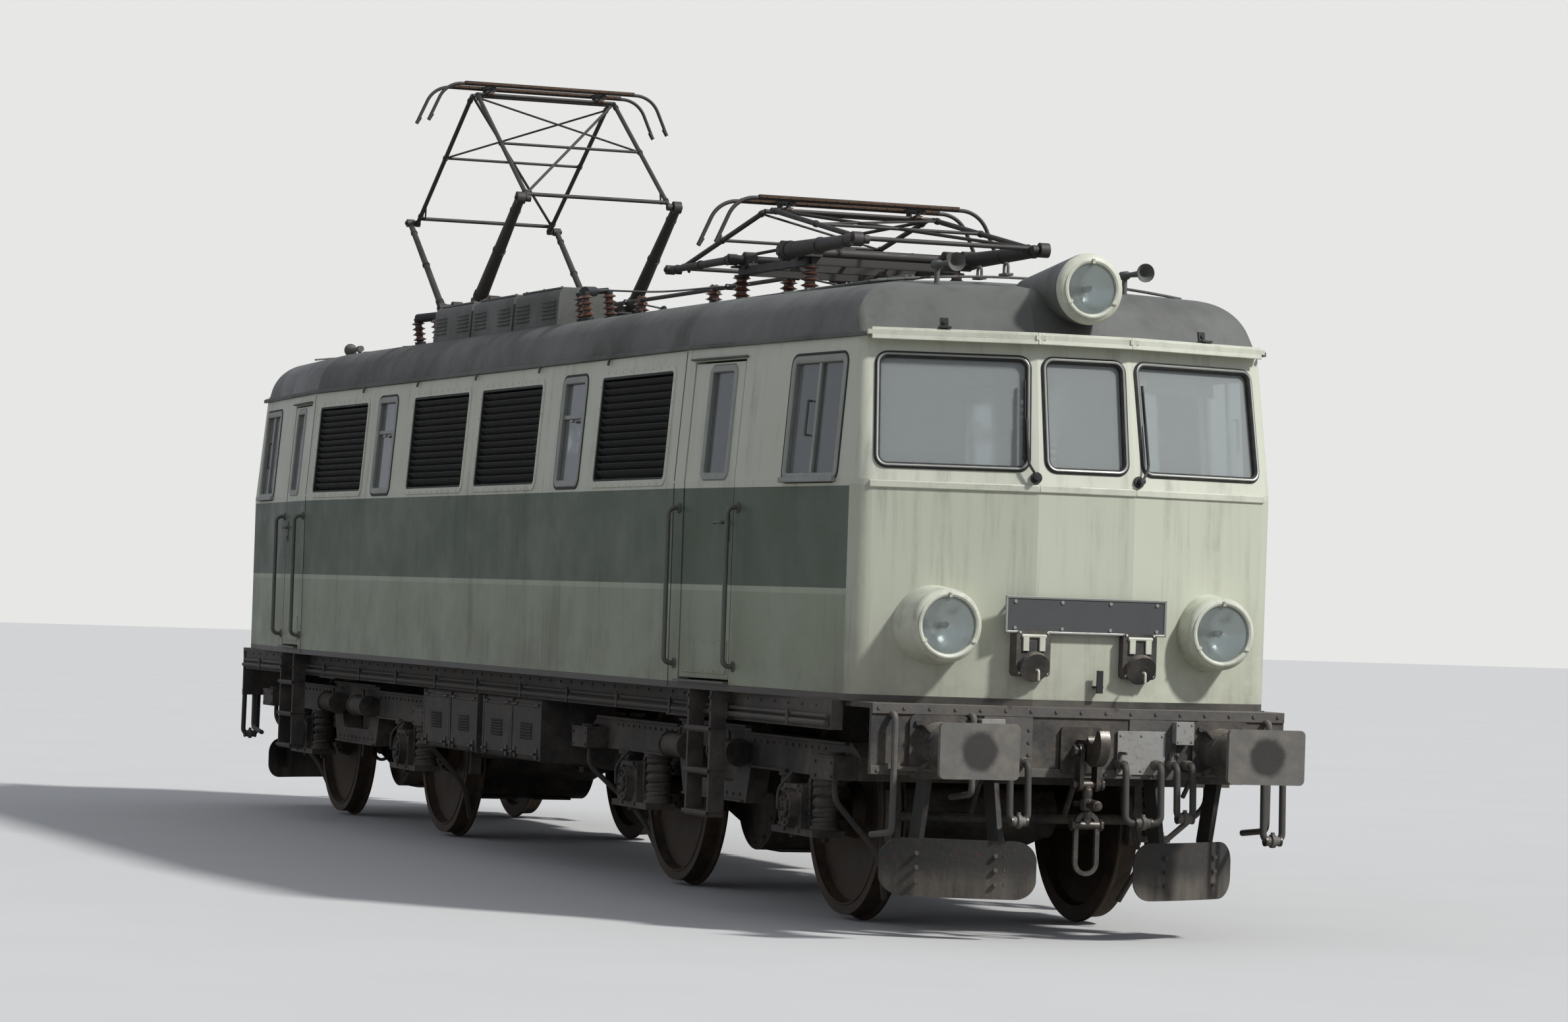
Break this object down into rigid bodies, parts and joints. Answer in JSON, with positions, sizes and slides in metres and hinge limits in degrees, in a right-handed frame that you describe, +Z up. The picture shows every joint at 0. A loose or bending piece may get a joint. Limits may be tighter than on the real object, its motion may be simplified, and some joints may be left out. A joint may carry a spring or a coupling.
{
  "type": "four-axle electric locomotive with two cabs",
  "caption": "Full-size electric locomotive with a cab at each end, diamond pantographs on the roof and a body carried on two pivoting bogies.",
  "frame": {"origin": "on the floor below the wheel flanges, midway between the buffers and on the centre line", "axes": "+X out of cab 1 along the locomotive, +Y to its left, +Z up"},
  "size_m": [15.915, 3.1932, 5.8298],
  "materials": {
    "body_paint": "satin two-tone paint",
    "roof_paint": "matt weathered paint",
    "underframe_paint": "matt paint with dust",
    "bogie_paint": "matt paint with dirt",
    "wheel_steel": "dull steel",
    "glass": "clear",
    "louvre_metal": "matt black",
    "handrail_metal": "worn steel",
    "lamp_paint": "satin",
    "hose_rubber": "matt",
    "cab_interior": "matt paint",
    "porcelain": "glazed porcelain",
    "pantograph_steel": "weathered steel"
  },
  "bodies": {
    "body": {"underframe": "underframe_paint", "side_wall_left": "body_paint", "side_wall_right": "body_paint", "cab_shell_1": "body_paint", "cab_shell_2": "body_paint", "main_roof": "roof_paint", "cab_bulkheads": "cab_interior", "cab_fittings": "cab_interior", "machinery_block": "cab_interior", "windscreens": "glass", "side_windows": "glass", "side_louvres": "louvre_metal", "rain_gutters": "body_paint", "door_handrails": "handrail_metal", "door_steps": "underframe_paint", "headlamp_housings": "lamp_paint", "headlamp_lenses": "glass", "buffer_casings": "underframe_paint", "buffer_heads": "wheel_steel", "draw_gear": "wheel_steel", "brake_hoses": "hose_rubber", "rail_guards": "underframe_paint", "jumper_sockets": "underframe_paint", "battery_boxes": "underframe_paint", "air_reservoirs": "underframe_paint", "roof_boxes": "roof_paint", "roof_busbars": "pantograph_steel", "horns": "roof_paint", "pantograph_bases": "pantograph_steel", "roof_insulators": "porcelain"},
    "door_1_left": {"cab_door_1_left": "body_paint", "door_pane_1_left": "glass"},
    "door_1_right": {"cab_door_1_right": "body_paint", "door_pane_1_right": "glass"},
    "bogie_1": {"bogie_frame_1": "bogie_paint", "axleboxes_1": "bogie_paint", "traction_motors_1": "bogie_paint", "brake_gear_1": "bogie_paint"},
    "wheels_1": {"wheelset_1": "wheel_steel"},
    "wheels_2": {"wheelset_2": "wheel_steel"},
    "door_2_left": {"cab_door_2_left": "body_paint", "door_pane_2_left": "glass"},
    "door_2_right": {"cab_door_2_right": "body_paint", "door_pane_2_right": "glass"},
    "bogie_2": {"bogie_frame_2": "bogie_paint", "axleboxes_2": "bogie_paint", "traction_motors_2": "bogie_paint", "brake_gear_2": "bogie_paint"},
    "wheels_3": {"wheelset_3": "wheel_steel"},
    "wheels_4": {"wheelset_4": "wheel_steel"},
    "pantograph_1_lower_front": {"pantograph_1_lower_front": "pantograph_steel"},
    "pantograph_1_upper_front": {"pantograph_1_upper_front": "pantograph_steel"},
    "pantograph_1_lower_rear": {"pantograph_1_lower_rear": "pantograph_steel"},
    "pantograph_1_upper_rear": {"pantograph_1_upper_rear": "pantograph_steel"},
    "pantograph_1_head": {"pantograph_1_head": "pantograph_steel"},
    "pantograph_2_lower_front": {"pantograph_2_lower_front": "pantograph_steel"},
    "pantograph_2_upper_front": {"pantograph_2_upper_front": "pantograph_steel"},
    "pantograph_2_lower_rear": {"pantograph_2_lower_rear": "pantograph_steel"},
    "pantograph_2_upper_rear": {"pantograph_2_upper_rear": "pantograph_steel"},
    "pantograph_2_head": {"pantograph_2_head": "pantograph_steel"}
  },
  "joints": [
    {"name": "door_1_left_hinge", "type": "hinge", "parent": "body", "child": "door_1_left", "pos_m": [4.65305, 1.40769, 2.353], "axis": [0, 0, -1], "range_deg": [0, 85]},
    {"name": "door_1_right_hinge", "type": "hinge", "parent": "body", "child": "door_1_right", "pos_m": [4.65305, -1.40769, 2.353], "axis": [0, 0, 1], "range_deg": [0, 85]},
    {"name": "bogie_1_yaw", "type": "hinge", "parent": "body", "child": "bogie_1", "pos_m": [4.25, 0, 0.828], "axis": [0, 0, 1], "range_deg": [-3, 3]},
    {"name": "wheels_1_spin", "type": "hinge", "parent": "bogie_1", "child": "wheels_1", "pos_m": [5.775, 0, 0.653], "axis": [0, 1, 0], "continuous": true},
    {"name": "wheels_2_spin", "type": "hinge", "parent": "bogie_1", "child": "wheels_2", "pos_m": [2.725, 0, 0.653], "axis": [0, 1, 0], "continuous": true},
    {"name": "door_2_left_hinge", "type": "hinge", "parent": "body", "child": "door_2_left", "pos_m": [-4.65305, 1.40769, 2.353], "axis": [0, 0, 1], "range_deg": [0, 85]},
    {"name": "door_2_right_hinge", "type": "hinge", "parent": "body", "child": "door_2_right", "pos_m": [-4.65305, -1.40769, 2.353], "axis": [0, 0, -1], "range_deg": [0, 85]},
    {"name": "bogie_2_yaw", "type": "hinge", "parent": "body", "child": "bogie_2", "pos_m": [-4.25, 0, 0.828], "axis": [0, 0, 1], "range_deg": [-3, 3]},
    {"name": "wheels_3_spin", "type": "hinge", "parent": "bogie_2", "child": "wheels_3", "pos_m": [-2.725, 0, 0.653], "axis": [0, 1, 0], "continuous": true},
    {"name": "wheels_4_spin", "type": "hinge", "parent": "bogie_2", "child": "wheels_4", "pos_m": [-5.775, 0, 0.653], "axis": [0, 1, 0], "continuous": true},
    {"name": "pantograph_1_raise", "type": "hinge", "parent": "body", "child": "pantograph_1_lower_front", "pos_m": [3.9, 0, 4.098], "axis": [0, -1, 0], "range_deg": [0, 41]},
    {"name": "pantograph_1_rear_shaft", "type": "hinge", "parent": "body", "child": "pantograph_1_lower_rear", "pos_m": [2.9, 0, 4.098], "axis": [0, 1, 0], "range_deg": [0, 41.01]},
    {"name": "pantograph_1_front_knee", "type": "hinge", "parent": "pantograph_1_lower_front", "child": "pantograph_1_upper_front", "pos_m": [5.15, 0, 4.098], "axis": [0, 1, 0], "range_deg": [0, 66.56]},
    {"name": "pantograph_1_rear_knee", "type": "hinge", "parent": "pantograph_1_lower_rear", "child": "pantograph_1_upper_rear", "pos_m": [1.65, 0, 4.098], "axis": [0, -1, 0], "range_deg": [0, 66.56]},
    {"name": "pantograph_1_head_pivot", "type": "hinge", "parent": "pantograph_1_upper_front", "child": "pantograph_1_head", "pos_m": [3.465, 0, 4.38933], "axis": [0, -1, 0], "range_deg": [0, 25.56]},
    {"name": "pantograph_2_raise", "type": "hinge", "parent": "body", "child": "pantograph_2_lower_front", "pos_m": [-2.9, 0, 4.098], "axis": [0, -1, 0], "range_deg": [-36, 5]},
    {"name": "pantograph_2_rear_shaft", "type": "hinge", "parent": "body", "child": "pantograph_2_lower_rear", "pos_m": [-3.9, 0, 4.098], "axis": [0, 1, 0], "range_deg": [-36.01, 5.01]},
    {"name": "pantograph_2_front_knee", "type": "hinge", "parent": "pantograph_2_lower_front", "child": "pantograph_2_upper_front", "pos_m": [-1.88873, 0, 4.83273], "axis": [0, 1, 0], "range_deg": [-58.45, 8.13]},
    {"name": "pantograph_2_rear_knee", "type": "hinge", "parent": "pantograph_2_lower_rear", "child": "pantograph_2_upper_rear", "pos_m": [-4.91127, 0, 4.83273], "axis": [0, -1, 0], "range_deg": [-58.45, 8.13]},
    {"name": "pantograph_2_head_pivot", "type": "hinge", "parent": "pantograph_2_upper_front", "child": "pantograph_2_head", "pos_m": [-3.335, 0, 5.74509], "axis": [0, -1, 0], "range_deg": [-22.45, 3.13]}
  ],
  "couplings": [
    {"joint": "pantograph_1_rear_shaft", "follows": "pantograph_1_raise", "ratio": 1},
    {"joint": "pantograph_1_front_knee", "follows": "pantograph_1_raise", "ratio": 1.6232},
    {"joint": "pantograph_1_rear_knee", "follows": "pantograph_1_raise", "ratio": 1.6232},
    {"joint": "pantograph_1_head_pivot", "follows": "pantograph_1_raise", "ratio": 0.62322},
    {"joint": "pantograph_2_rear_shaft", "follows": "pantograph_2_raise", "ratio": 1},
    {"joint": "pantograph_2_front_knee", "follows": "pantograph_2_raise", "ratio": 1.6232},
    {"joint": "pantograph_2_rear_knee", "follows": "pantograph_2_raise", "ratio": 1.6232},
    {"joint": "pantograph_2_head_pivot", "follows": "pantograph_2_raise", "ratio": 0.62322}
  ]
}
